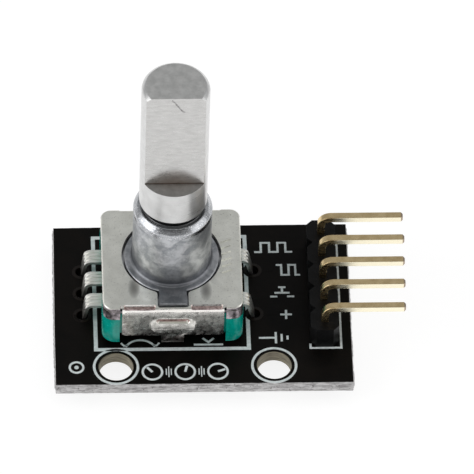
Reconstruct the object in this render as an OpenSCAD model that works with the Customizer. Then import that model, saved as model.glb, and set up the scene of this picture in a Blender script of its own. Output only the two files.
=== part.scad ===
// Rotary encoder on a carrier board: a push-switch encoder with a D shaft, soldered beside a
// right-angle five-pin header. Millimetres, +Z up along the shaft.
// The origin lies midway between the two mounting holes, on the underside of the board.

/* [Board] */
// Length of the board's top face along X
board_l = 26.3; // [26:0.05:27]
// Depth of the board's top face along Y
board_d = 18.2; // [18:0.1:20]
// Thickness of the board
board_t = 1.2; // [1.0:0.1:1.6]
// How far the snapped edge stands out half way up the board
edge_ridge = 0.15; // [0.05:0.05:0.2]
// Distance between the two mounting holes
hole_pitch = 14; // [13.8:0.1:14.2]
// Radius of a mounting hole
hole_r = 1.5; // [1.2:0.05:1.6]
// Distance from the mounting holes to the front edge
hole_edge = 2; // [1.9:0.05:2.4]
// Distance from the left mounting hole to the left edge
hole_side = 5.35; // [5.1:0.05:5.4]

/* [Encoder position] */
// Distance of the shaft axis to the left of the origin
axis_left = 1.95; // [1.85:0.05:2.05]
// Distance of the shaft axis behind the mounting holes
axis_back = 8.42; // [8.3:0.02:8.6]

/* [Housing] */
// Width of the steel cover along X
cover_w = 12.4; // [12.3:0.05:12.5]
// Distance from the shaft axis to the front of the cover
cover_front = 6.2; // [6.15:0.05:6.3]
// Distance from the shaft axis to the back of the cover
cover_back = 5.4; // [5.35:0.05:5.5]
// Thickness of the cover's sheet
sheet_t = 0.35; // [0.3:0.01:0.4]
// Height of the cover's top above the board
cover_top = 5.25; // [5.2:0.05:5.4]
// Radius of the bushing's flange
flange_r = 4.25; // [4.1:0.05:4.3]
// Width of the locating key on the flange
key_w = 2.5; // [2.4:0.05:2.8]

/* [Bushing and shaft] */
// Outer radius of the bushing
bushing_r = 3.5; // [3.4:0.05:3.6]
// Height of the bushing above the cover
bushing_h = 7.2; // [6.8:0.1:7.6]
// Radius of the shaft
shaft_r = 3; // [2.9:0.05:3.0]
// Radius of the shaft's neck inside the bushing
neck_r = 2.5; // [2.4:0.05:2.6]
// Radial clearance between the neck and the bushing
running_gap = 0.05; // [0.03:0.01:0.08]
// Height of the shaft's tip above the board
shaft_top = 28.2; // [27.5:0.1:29]
// Height above the board at which the flat begins
flat_z = 16.8; // [16:0.1:18]
// Distance from the shaft axis to the flat
flat_y = 1.5; // [1.4:0.05:1.6]
// Travel of the shaft when it is pushed
push_travel = 0.5; // [0.4:0.05:0.5]

/* [Header] */
// Distance of the header from the shaft axis
header_x = 13.5; // [13.4:0.05:13.6]
// Pitch of the header pins
pitch = 2.54; // [2.54:0.01:2.54]
// Side of a square header pin
pin_w = 0.64; // [0.6:0.02:0.64]
// Height of the plastic strip
strip_h = 2.3; // [2.2:0.1:2.5]
// Height of the pins' upper face above the board
pin_top = 4.5; // [4.2:0.05:4.6]
// Distance of the pin tips from the shaft axis
pin_reach = 20.8; // [20:0.1:22]
// How far pins and leads stand out below the board
lead_drop = 1.5; // [1.4:0.05:1.7]

/* [Hidden] */
$fn = 96;
eps = 0.02;
// Board
board_x0 = -hole_pitch / 2 - hole_side;
board_y0 = -hole_edge;
lead_hole_r = 0.55;
plating_t = 0.04;
pad_r = 0.8;
print_t = 0.02;
print_line = 0.35;
print_gap = 0.05;
ring_line = 0.23;
ring_r = 2.05;
outline_x = 6.78;
outline_y = 6.45;
// Printed marks round the header, placed from the header's middle
mark_left = 1.32;
mark_right = 1.58;
mark_front = 6.6;
mark_back = 6.4;
mark_line = 0.2;
mark_tick = 0.6;
// Encoder terminals
term_ys = [2.5, 0, -2.5];
term_w = 1.45;
term_t = 0.3;
term_top = 2.22;
term_bend = 0.7;
lead_w = 0.7;
leg_z = 0.1;
left_face = 7.72;
right_face = 7.05;
left_splay = 0.2;
right_splay = 0.35;
// The leads' holes, and how far inside their centres the leads stand
lead_shift = 0.15;
left_hole = left_face + left_splay - term_t / 2 + lead_shift;
right_hole = right_face + right_splay - term_t / 2 + lead_shift;
// Base, measured up from the board
base_z = 0.6;
base_x = 6.1;
post_x = 6.25;
post_y = 3.8;
wall_y = 4.85;
base_corner = 1.2;
lip_z = 3.75;
plate_z = 4.15;
cover_in = cover_top - sheet_t;
cover_corner = 0.9;
rotor_room_r = 4.6;
spigot_hole_r = 2.6;
ceiling_z = 1.5;
switch_half = 4.4;
switch_corner = 0.8;
switch_floor = 0.9;
strip_t = 0.15;
step_x = 4;
ring_out = 2.8;
ring_in = 2.2;
centre_r = 0.7;
wiper_w = 0.7;
wiper_t = 0.12;
// Cover
skirt_x = 4.5;
skirt_z = 1.65;
slit = 0.2;
flange_gap = 0.11;
tab_x = 1;
tab_t = 0.3;
tab_in = 1.9;
emboss_l = 4.2;
emboss_h = 1.9;
emboss_t = 0.3;
emboss_z = 3;
// Bushing and shaft
rim_z = cover_top + bushing_h;
rim_chamfer = 0.45;
bore_r = neck_r + running_gap;
shoulder_z = rim_z + push_travel + 0.15;
tip_chamfer = 0.42;
clip_t = 0.3;
clip_r = 2.8;
groove_r = 1.5;
drive_r = 1.8;
drive_flat = 1.3;
shaft_end = 2.28;
neck_end = plate_z - 0.03;
// Rotor
rotor_r = 4.4;
rotor_top = 3.7;
rotor_floor = 3.25;
rotor_z = 2.97;
recess_r = 3.2;
spigot_r = spigot_hole_r - running_gap;
spigot_z = 1.62;
clicks = 20;
disc_t = 0.12;
disc_in = 2.65;
disc_out = 4.2;
// Switch
dome_r = 2.7;
dome_h = 0.6;
dome_t = 0.07;
dome_z = switch_floor + strip_t;
plunger_r = 1.2;
plunger_z = dome_z + dome_h + 0.01;
// Header
header_n = 5;
pin_bend = 1.2;
pin_cut = 0.15;
notch = 0.52;
// Chip resistors under the board, placed from the shaft axis
chip_x = 9.6;
chip_ys = [2.2, -0.6];
chip = [2, 1.25, 0.5];
chip_cap = 0.4;
chip_standoff = 0.03;

// Moves its children to the shaft axis, with Z measured up from the board's top face.
module at_encoder() {
    translate([-axis_left, axis_back, board_t]) children();
}

// Moves its children to header pin i, with Z measured up from the board's top face.
module at_pin(i) {
    at_encoder() translate([header_x, ((header_n + 1) / 2 - i) * pitch, 0]) children();
}

// Moves its children to encoder lead hole i: 1 to 3 on the left, 4 and 5 on the right. +X then
// points away from the housing.
module at_lead(i) {
    y = i <= 3 ? term_ys[i - 1] : term_ys[(i - 4) * 2];
    at_encoder() mirror([i <= 3 ? 1 : 0, 0, 0])
        translate([i <= 3 ? left_hole : right_hole, y, 0]) children();
}

// Rectangle from a to b with round corners.
module round_rect(a, b, r) {
    translate([a[0] + r, a[1]]) square([b[0] - a[0] - 2 * r, b[1] - a[1]]);
    translate([a[0], a[1] + r]) square([b[0] - a[0], b[1] - a[1] - 2 * r]);
    for (x = [a[0] + r, b[0] - r], y = [a[1] + r, b[1] - r])
        translate([x, y]) circle(r);
}

// Slot with round ends, length l and height h, centred on the origin.
module stadium(l, h) {
    square([l - h, h], center = true);
    for (s = [-1, 1])
        translate([s * (l - h) / 2, 0]) circle(h / 2);
}

// Quarter ring that joins a leg to an arm, for a bend of outer radius r in stock t thick.
module quarter_ring(r, t) {
    intersection() {
        difference() {
            circle(r);
            circle(r - t);
        }
        translate([-r, 0]) square(r);
    }
}

// Turns a drawing in X and Z into a strip w wide, centred on Y.
module strip(w) {
    rotate([90, 0, 0]) linear_extrude(w, center = true) children();
}

// Block from low corner a to high corner b.
module block(a, b) {
    translate(a) cube(b - a);
}

// Outline of a board edge profile, l long and t thick, with its ridge half way up.
module edge_profile(start, l, t) {
    polygon([[start, 0], [start - edge_ridge, t / 2], [start, t],
        [start + l, t], [start + l + edge_ridge, t / 2], [start + l, 0]]);
}

module circuit_board() {
    color([0.06, 0.06, 0.055]) difference() {
        intersection() {
            translate([0, board_y0 - 1, 0]) mirror([0, 1, 0]) rotate([90, 0, 0])
                linear_extrude(board_d + 2) edge_profile(board_x0, board_l, board_t);
            translate([board_x0 - 1, 0, 0]) rotate([90, 0, 90])
                linear_extrude(board_l + 2) edge_profile(board_y0, board_d, board_t);
        }
        for (s = [-1, 1])
            translate([s * hole_pitch / 2, 0, -1]) cylinder(r = hole_r, h = board_t + 2);
        for (i = [1:header_n])
            at_pin(i) translate([0, 0, -board_t - 1]) cylinder(r = lead_hole_r, h = board_t + 2);
        for (i = [1:5])
            at_lead(i) translate([0, 0, -board_t - 1]) cylinder(r = lead_hole_r, h = board_t + 2);
    }
}

// White print: the encoder's outline, a ring round each mounting hole and the header's marks.
module silkscreen() {
    color([0.85, 0.9, 0.92]) {
        at_encoder() linear_extrude(print_t) difference() {
            square([2 * outline_x + print_line, 2 * outline_y + print_line], center = true);
            square([2 * outline_x - print_line, 2 * outline_y - print_line], center = true);
            for (y = [term_ys[0], term_ys[2]])
                translate([right_hole, y]) circle(pad_r + print_gap);
        }
        for (s = [-1, 1])
            translate([s * hole_pitch / 2, 0, board_t]) linear_extrude(print_t) difference() {
                circle(ring_r);
                circle(ring_r - ring_line);
            }
        at_encoder() translate([header_x, 0, 0]) linear_extrude(print_t) difference() {
            translate([-mark_left, -mark_front])
                square([mark_left + mark_right, mark_front + mark_back]);
            translate([-mark_left - 1, -mark_front + mark_tick])
                square([mark_left + 1 + mark_right - mark_line, mark_front + mark_back]);
            translate([-mark_left + mark_line, -mark_front + mark_line])
                square([mark_left + mark_right - 2 * mark_line, mark_front + mark_back]);
        }
    }
}

// Plated barrel with a round pad on each face of the board.
module eyelet() {
    difference() {
        union() {
            translate([0, 0, -board_t]) cylinder(r = lead_hole_r, h = board_t);
            cylinder(r = pad_r, h = plating_t);
            translate([0, 0, -board_t - plating_t]) cylinder(r = pad_r, h = plating_t);
        }
        translate([0, 0, -board_t - 1]) cylinder(r = lead_hole_r - plating_t, h = board_t + 2);
    }
}

module encoder_eyelets() {
    color([0.3, 0.22, 0.12]) for (i = [1:5])
        at_lead(i) eyelet();
}

module header_eyelets() {
    color([0.3, 0.22, 0.12]) for (i = [1:header_n])
        at_pin(i) eyelet();
}

// Solder round a lead of section w by d that stands shift off the hole's centre: a plug in the
// hole and a hollow-sided cone, drawn as radius and drop below the board's underside.
module solder(w, d, shift) {
    hole = lead_hole_r - plating_t;
    cone = [[pad_r - 0.05, plating_t], [0.62, 0.3], [0.52, 0.75], [0.5, 1.1], [0, 1.1]];
    difference() {
        rotate_extrude() polygon(concat([[0, 0], [hole, 0], [hole, -board_t - plating_t]],
            [for (c = cone) [c[0], -board_t - c[1]]]));
        translate([-shift, 0, 0]) cube([w, d, 4 * (board_t + lead_drop)], center = true);
    }
}

module header_solder(i) {
    color([0.72, 0.73, 0.74]) at_pin(i) solder(pin_w, pin_w, 0);
}

module encoder_solder(i) {
    color([0.72, 0.73, 0.74]) at_lead(i) solder(term_t, lead_w, lead_shift);
}

module pull_up_body(i) {
    color([0.08, 0.08, 0.09]) at_encoder() translate([chip_x, chip_ys[i - 1], -board_t])
        block([-chip[0] / 2 + chip_cap, -chip[1] / 2, -chip[2]],
            [chip[0] / 2 - chip_cap, chip[1] / 2, -chip_standoff]);
}

module pull_up_caps(i) {
    color([0.75, 0.76, 0.77]) at_encoder() translate([chip_x, chip_ys[i - 1], -board_t])
        for (s = [0, 1]) mirror([s, 0, 0])
            block([chip[0] / 2 - chip_cap, -chip[1] / 2, -chip[2] - 0.02],
                [chip[0] / 2, chip[1] / 2, 0]);
}

// One position of the header strip, seen from above: a square with its corners cut off.
module strip_cell() {
    h = pitch / 2;
    c = h - notch;
    polygon([[-h, -c], [-c, -h], [c, -h], [h, -c], [h, c], [c, h], [-c, h], [-h, c]]);
}

module header_strip() {
    color([0.07, 0.07, 0.075]) difference() {
        for (i = [1:header_n])
            at_pin(i) translate([0, 0, plating_t]) linear_extrude(strip_h - plating_t) strip_cell();
        for (i = [1:header_n])
            at_pin(i) cube([pin_w, pin_w, 3 * strip_h], center = true);
    }
}

// Square pin: down through the strip and the board, and out over the board's right edge.
module header_pin(i) {
    half = pin_w / 2;
    arm = pin_reach - header_x;
    foot = -board_t - lead_drop;
    bend_x = pin_bend - half;
    bend_z = pin_top - pin_bend;
    color([0.8, 0.67, 0.38]) at_pin(i) strip(pin_w) difference() {
        union() {
            translate([-half, foot]) square([pin_w, bend_z - foot]);
            translate([bend_x, bend_z]) quarter_ring(pin_bend, pin_w);
            translate([bend_x, pin_top - pin_w]) square([arm - bend_x, pin_w]);
        }
        for (corner = [[-half, foot], [half, foot], [arm, pin_top], [arm, pin_top - pin_w]])
            translate(corner) rotate(45) square(pin_cut * sqrt(2), center = true);
    }
}

// Outside part of a terminal on the right: arm from x0, round bend with outer face at x1, a leg
// that splays outwards, and the lead that goes through the board.
module terminal_outside(x0, x1, splay) {
    strip(term_w) {
        translate([x0, term_top - term_t]) square([x1 - term_bend - x0, term_t]);
        translate([x1 - term_bend, term_top - term_bend]) mirror([1, 0])
            quarter_ring(term_bend, term_t);
        polygon([[x1 - term_t, term_top - term_bend], [x1, term_top - term_bend],
            [x1 + splay, leg_z], [x1 + splay - term_t, leg_z]]);
    }
    strip(lead_w) translate([x1 + splay - term_t, -board_t - lead_drop])
        square([term_t, board_t + lead_drop + leg_z]);
}

// Terminal strip on the left with its wiper, whose crest touches the contact disc at crest_x.
module wiper_contact(y, crest_x) {
    crest_z = rotor_z - disc_t - eps;
    color([0.78, 0.78, 0.74]) at_encoder() translate([0, y, 0]) mirror([1, 0, 0]) {
        terminal_outside(4.4, left_face, left_splay);
        strip(wiper_w) polygon([[4.9, term_top - wiper_t], [4.9, term_top], [crest_x + 0.2, crest_z],
            [crest_x - 0.15, crest_z], [crest_x - 0.15, crest_z - wiper_t],
            [crest_x + 0.15, crest_z - wiper_t], [4.6, term_top - wiper_t]]);
    }
}

module contact_a() {
    wiper_contact(term_ys[0], 2.8);
}

module contact_common() {
    wiper_contact(term_ys[1], 3.0);
}

module contact_b() {
    wiper_contact(term_ys[2], 2.8);
}

// Terminal strip on the right, stepping down to the switch floor.
module switch_terminal() {
    terminal_outside(step_x, right_face, right_splay);
    strip(term_w) translate([step_x, switch_floor]) square([term_t, term_top - switch_floor]);
}

// Ring under the dome's rim, open towards the centre contact's strip.
module switch_contact_ring() {
    link_w = 0.8;
    gap_w = 1.6;
    color([0.78, 0.78, 0.74]) at_encoder() {
        translate([0, term_ys[0], 0]) switch_terminal();
        difference() {
            union() {
                translate([0, 0, switch_floor]) cylinder(r = ring_out, h = strip_t);
                block([ring_in / 2, term_ys[0] - link_w / 2, switch_floor],
                    [step_x + term_t / 2, term_ys[0] + link_w / 2, switch_floor + strip_t]);
            }
            translate([0, 0, switch_floor - 1]) cylinder(r = ring_in, h = 2);
            rotate([0, 0, atan2(term_ys[2], step_x + term_t / 2)])
                block([0, -gap_w / 2, 0], [step_x, gap_w / 2, 2]);
        }
    }
}

module switch_contact_centre() {
    end = [step_x + term_t / 2, term_ys[2]];
    color([0.78, 0.78, 0.74]) at_encoder() {
        translate([0, term_ys[2], 0]) switch_terminal();
        translate([0, 0, switch_floor]) cylinder(r = centre_r, h = strip_t);
        rotate([0, 0, atan2(end[1], end[0])])
            block([0, -centre_r / 2, switch_floor],
                [norm(end), centre_r / 2, switch_floor + strip_t]);
    }
}

module switch_base() {
    color([0.02, 0.45, 0.4]) at_encoder() translate([0, 0, base_z])
        linear_extrude(switch_floor - base_z)
        round_rect([-switch_half + eps, -switch_half + eps],
            [switch_half - eps, switch_half - eps], switch_corner);
}

// Shallow sprung dome, part of a sphere through the rim and the crown.
module snap_dome() {
    sphere_r = (pow(dome_r, 2) + pow(dome_h, 2)) / (2 * dome_h);
    color([0.75, 0.76, 0.78]) at_encoder() translate([0, 0, dome_z]) rotate_extrude()
        intersection() {
            translate([0, dome_h - sphere_r]) difference() {
                circle(sphere_r);
                circle(sphere_r - dome_t);
            }
            square([dome_r + 0.1, dome_h]);
        }
}

module plunger() {
    top = shaft_end - eps;
    cut = 0.12;
    color([0.9, 0.9, 0.88]) at_encoder() rotate_extrude()
        polygon([[0, plunger_z], [0.5, plunger_z], [plunger_r, plunger_z + 0.15],
            [plunger_r, top - cut], [plunger_r - cut, top], [0, top]]);
}

// Green moulding: rotor room above, switch room below, a foot at each corner, grooves for the
// terminal strips and pockets that the wipers rise through.
module encoder_base() {
    play = 0.01;
    front = cover_front - sheet_t;
    back = cover_back - sheet_t;
    color([0, 0.55, 0.47]) at_encoder() difference() {
        union() {
            translate([0, 0, base_z]) linear_extrude(lip_z - base_z)
                round_rect([-post_x, -front - 0.2], [post_x, back + 0.2], base_corner);
            translate([0, 0, base_z]) linear_extrude(plate_z - base_z)
                round_rect([-cover_w / 2 + sheet_t + play, -front + play],
                    [cover_w / 2 - sheet_t - play, back - play], cover_corner);
        }
        for (s = [0, 1]) mirror([s, 0, 0])
            block([base_x, -post_y, 0], [post_x + 1, post_y, plate_z]);
        for (y = [[-front - 1, -front], [back, back + 1]])
            block([-skirt_x - slit, y[0], 0], [skirt_x + slit, y[1], plate_z]);
        for (y = [[-front - 1, -wall_y], [wall_y, back + 1]])
            block([-skirt_x - slit, y[0], 0], [skirt_x + slit, y[1], skirt_z]);
        translate([0, 0, term_top]) cylinder(r = rotor_room_r, h = plate_z);
        cylinder(r = spigot_hole_r, h = plate_z);
        translate([0, 0, base_z - 1]) linear_extrude(ceiling_z - base_z + 1)
            round_rect([-switch_half, -switch_half], [switch_half, switch_half], switch_corner);
        for (y = term_ys) {
            block([-post_x - 1, y - term_w / 2 - play, term_top - term_t - play],
                [-4.3, y + term_w / 2 + play, term_top + play]);
            block([-5, y - wiper_w / 2 - eps, term_top],
                [-3.4, y + wiper_w / 2 + eps, rotor_z]);
        }
        for (y = [term_ys[0], term_ys[2]]) {
            block([step_x - eps, y - term_w / 2 - play, term_top - term_t - play],
                [post_x + 1, y + term_w / 2 + play, term_top + play]);
            block([step_x - eps, y - term_w / 2 - play, base_z],
                [step_x + term_t + play, y + term_w / 2 + play, term_top + play]);
        }
    }
}

// Steel cover: keyed opening in its top, lips round the corners, a skirt with a raised oval and
// a clinch tab at the front and the back.
module cover() {
    half = cover_w / 2;
    color([0.68, 0.69, 0.65]) at_encoder() {
        difference() {
            translate([0, 0, cover_in]) linear_extrude(sheet_t)
                round_rect([-half, -cover_front], [half, cover_back], cover_corner);
            translate([0, 0, cover_in - 1]) cylinder(r = flange_r + flange_gap, h = 3);
            block([-key_w / 2 - flange_gap, -cover_front + 0.25, cover_in - 1],
                [key_w / 2 + flange_gap, 0, cover_top + 1]);
        }
        difference() {
            translate([0, 0, lip_z]) linear_extrude(cover_in - lip_z)
                round_rect([-half, -cover_front], [half, cover_back], cover_corner);
            translate([0, 0, lip_z - 1]) linear_extrude(cover_top)
                round_rect([-half + sheet_t, -cover_front + sheet_t],
                    [half - sheet_t, cover_back - sheet_t], cover_corner - sheet_t);
            block([-skirt_x - slit, -cover_front - 1, 0], [skirt_x + slit, cover_back + 1, cover_top]);
        }
        for (side = [[1, cover_front], [0, cover_back]])
            mirror([0, side[0], 0]) translate([0, side[1], 0]) skirt();
    }
}

// One skirt, its outer face at Y = 0 and facing +Y.
module skirt() {
    block([-skirt_x, -sheet_t, skirt_z], [skirt_x, 0, cover_in]);
    translate([0, emboss_t, emboss_z]) rotate([90, 0, 0])
        linear_extrude(emboss_t + eps) stadium(emboss_l, emboss_h);
    block([-tab_x, -tab_t, base_z - tab_t], [tab_x, 0, skirt_z]);
    block([-tab_x, -tab_in, base_z - tab_t], [tab_x, 0, base_z]);
}

// Zinc bushing: square plate under the cover, keyed flange in its opening, barrel and bore.
module bushing() {
    play = 0.05;
    plate_x = cover_w / 2 - sheet_t - play;
    flange_top = cover_top - 0.03;
    color([0.55, 0.56, 0.58]) at_encoder() difference() {
        union() {
            translate([0, 0, plate_z]) linear_extrude(cover_in - plate_z)
                round_rect([-plate_x, -cover_front + sheet_t + play],
                    [plate_x, cover_back - sheet_t - play], 0.5);
            translate([0, 0, plate_z]) cylinder(r = flange_r, h = flange_top - plate_z);
            block([-key_w / 2, -cover_front + 0.35, plate_z], [key_w / 2, 0, flange_top]);
            translate([0, 0, plate_z]) cylinder(r = bushing_r, h = rim_z - rim_chamfer - plate_z);
            translate([0, 0, rim_z - rim_chamfer])
                cylinder(r1 = bushing_r, r2 = bushing_r - rim_chamfer, h = rim_chamfer);
        }
        translate([0, 0, plate_z - 1]) cylinder(r = bore_r, h = rim_z);
    }
}

// Thin ring under the bushing with two arms, each with a round nose that rides the notches.
module detent_spring() {
    t = 0.14;
    z = plate_z - t;
    arm_r = 3.85;
    color([0.8, 0.8, 0.78]) at_encoder() {
        difference() {
            translate([0, 0, z]) cylinder(r = rotor_room_r - 0.05, h = t);
            translate([0, 0, z - 1]) cylinder(r = 3.3, h = 3);
            for (a = [0, 180])
                rotate([0, 0, a]) intersection() {
                    translate([0, 0, z - 1]) difference() {
                        cylinder(r = arm_r + 0.42, h = 3);
                        cylinder(r = arm_r + 0.3, h = 3);
                    }
                    block([0, -3, 0], [5, 3, 5]);
                }
        }
        for (a = [0, 180])
            rotate([0, 0, a]) translate([arm_r - 0.25, 0, z + 0.02]) intersection() {
                rotate([0, 90, 0]) cylinder(r = 0.22, h = 0.5);
                block([0, -1, -1], [1, 1, 0]);
            }
    }
}

// Moulded disc: notched rim above, spigot below, and a slotted hole that the shaft slides through.
module rotor() {
    color([0.12, 0.12, 0.13]) at_encoder() difference() {
        union() {
            translate([0, 0, rotor_z]) cylinder(r = rotor_r, h = rotor_top - rotor_z);
            translate([0, 0, spigot_z]) cylinder(r = spigot_r, h = rotor_z - spigot_z);
        }
        translate([0, 0, rotor_floor]) cylinder(r = recess_r, h = 1);
        drive_section(running_gap, 0, 5);
        for (i = [0:clicks - 1])
            rotate([0, 0, i * 360 / clicks]) translate([recess_r - 0.2, 0, rotor_top + 0.08])
                rotate([0, 90, 0]) cylinder(r = 0.3, h = 2);
    }
}

// Round bar with two flats, which turns the rotor. gap widens it all round.
module drive_section(gap, z0, z1) {
    intersection() {
        translate([0, 0, z0]) cylinder(r = drive_r + gap, h = z1 - z0);
        block([-drive_flat - gap, -5, z0], [drive_flat + gap, 5, z1]);
    }
}

// Brass disc on the rotor's underside: a whole inner track and a slotted outer track.
module contact_disc() {
    slot_in = 3.45;
    slot_out = 4.05;
    slot_w = 0.55;
    color([0.8, 0.62, 0.3]) at_encoder() difference() {
        translate([0, 0, rotor_z - disc_t]) cylinder(r = disc_out, h = disc_t);
        translate([0, 0, rotor_z - 1]) cylinder(r = disc_in, h = 2);
        for (i = [0:clicks - 1])
            rotate([0, 0, i * 360 / clicks])
                block([slot_in, -slot_w / 2, rotor_z - 1], [slot_out, slot_w / 2, rotor_z + 1]);
    }
}

module retaining_clip() {
    color([0.7, 0.71, 0.72]) at_encoder() translate([0, 0, neck_end - clip_t]) difference() {
        cylinder(r = clip_r, h = clip_t);
        translate([0, 0, -1]) cylinder(r = groove_r + eps, h = 2);
        block([-0.9, 0, -1], [0.9, 4, 1]);
    }
}

// Aluminium shaft: D section above, then the round collar, the neck in the bushing, the clip
// groove and the drive section.
module shaft() {
    color([0.78, 0.78, 0.78]) at_encoder() {
        difference() {
            union() {
                translate([0, 0, shoulder_z])
                    cylinder(r = shaft_r, h = shaft_top - tip_chamfer - shoulder_z);
                translate([0, 0, shaft_top - tip_chamfer])
                    cylinder(r1 = shaft_r, r2 = shaft_r - tip_chamfer, h = tip_chamfer);
            }
            block([-5, -5, flat_z], [5, -flat_y, shaft_top + 1]);
        }
        translate([0, 0, neck_end]) cylinder(r = neck_r, h = shoulder_z - neck_end);
        translate([0, 0, neck_end - clip_t]) cylinder(r = groove_r, h = clip_t);
        drive_section(0, shaft_end, neck_end - clip_t);
    }
}

circuit_board();
silkscreen();
encoder_eyelets();
header_eyelets();
header_strip();
header_pin(1);  // header_pin_1
header_pin(2);  // header_pin_2
header_pin(3);  // header_pin_3
header_pin(4);  // header_pin_4
header_pin(5);  // header_pin_5
header_solder(1);  // header_solder_1
header_solder(2);  // header_solder_2
header_solder(3);  // header_solder_3
header_solder(4);  // header_solder_4
header_solder(5);  // header_solder_5
encoder_solder(1);  // encoder_solder_1
encoder_solder(2);  // encoder_solder_2
encoder_solder(3);  // encoder_solder_3
encoder_solder(4);  // encoder_solder_4
encoder_solder(5);  // encoder_solder_5
pull_up_body(1);  // pull_up_body_1
pull_up_body(2);  // pull_up_body_2
pull_up_caps(1);  // pull_up_caps_1
pull_up_caps(2);  // pull_up_caps_2
encoder_base();
contact_a();
contact_common();
contact_b();
switch_base();
switch_contact_ring();
switch_contact_centre();
snap_dome();
plunger();
cover();
bushing();
detent_spring();
rotor();
contact_disc();
retaining_clip();
shaft();
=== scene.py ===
import math

import bmesh
import bpy
from mathutils import Matrix, Vector, noise


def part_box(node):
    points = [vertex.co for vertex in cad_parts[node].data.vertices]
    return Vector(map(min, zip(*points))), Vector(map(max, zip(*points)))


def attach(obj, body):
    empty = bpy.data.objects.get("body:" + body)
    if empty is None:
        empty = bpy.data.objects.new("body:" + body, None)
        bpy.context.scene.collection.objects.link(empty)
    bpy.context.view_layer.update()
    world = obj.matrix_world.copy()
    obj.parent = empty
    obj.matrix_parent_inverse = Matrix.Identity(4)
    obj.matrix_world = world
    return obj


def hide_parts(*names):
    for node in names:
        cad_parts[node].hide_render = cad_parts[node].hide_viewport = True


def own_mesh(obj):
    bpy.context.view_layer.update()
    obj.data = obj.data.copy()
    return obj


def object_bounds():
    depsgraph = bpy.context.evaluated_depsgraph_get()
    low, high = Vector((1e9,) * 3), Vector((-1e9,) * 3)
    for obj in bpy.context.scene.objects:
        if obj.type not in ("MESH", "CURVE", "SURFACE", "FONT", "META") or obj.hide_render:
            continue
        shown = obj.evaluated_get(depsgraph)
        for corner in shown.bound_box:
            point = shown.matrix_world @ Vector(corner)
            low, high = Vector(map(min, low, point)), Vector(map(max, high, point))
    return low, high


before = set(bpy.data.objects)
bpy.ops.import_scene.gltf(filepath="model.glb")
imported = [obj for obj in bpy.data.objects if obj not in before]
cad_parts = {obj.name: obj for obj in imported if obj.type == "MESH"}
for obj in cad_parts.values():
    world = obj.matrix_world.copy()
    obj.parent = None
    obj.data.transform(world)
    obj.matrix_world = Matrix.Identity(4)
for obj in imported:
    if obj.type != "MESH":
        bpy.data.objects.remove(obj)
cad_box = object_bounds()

scene = bpy.context.scene

# Everything below is drawn in millimetres from the shaft axis, with Z measured up from the
# board's top face, and is moved into the frame when it is finished.
MM = 0.001
shaft_lo, shaft_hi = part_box("shaft")
board_lo, board_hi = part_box("circuit_board")
origin = Vector(((shaft_lo.x + shaft_hi.x) / 2, (shaft_lo.y + shaft_hi.y) / 2, board_hi.z))
TO_FRAME = Matrix.Translation(origin) @ Matrix.Scale(MM, 4)
TO_MM = TO_FRAME.inverted()


def box_mm(node):
    lo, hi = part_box(node)
    return TO_MM @ lo, TO_MM @ hi


# ---------------------------------------------------------------- camera
def aim_camera():
    elevation, yaw, roll = math.radians(50.06), math.radians(-3.36), math.radians(2.0)
    back = Vector((math.sin(yaw) * math.cos(elevation), -math.cos(yaw) * math.cos(elevation),
                   math.sin(elevation)))
    right = Vector((math.cos(yaw), math.sin(yaw), 0))
    up = back.cross(right)
    right, up = (math.cos(roll) * right + math.sin(roll) * up,
                 math.cos(roll) * up - math.sin(roll) * right)
    target, distance = Vector((5.733, -0.274, 8.0)), 864.9
    place = TO_FRAME @ (target + distance * back)
    data = bpy.data.cameras.new("camera")
    data.sensor_width = 36
    data.lens = 743.2
    camera = bpy.data.objects.new("camera", data)
    turn = Matrix((right, up, back)).transposed().to_4x4()
    camera.matrix_world = Matrix.Translation(place) @ turn
    scene.collection.objects.link(camera)
    scene.camera = camera


aim_camera()


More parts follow.
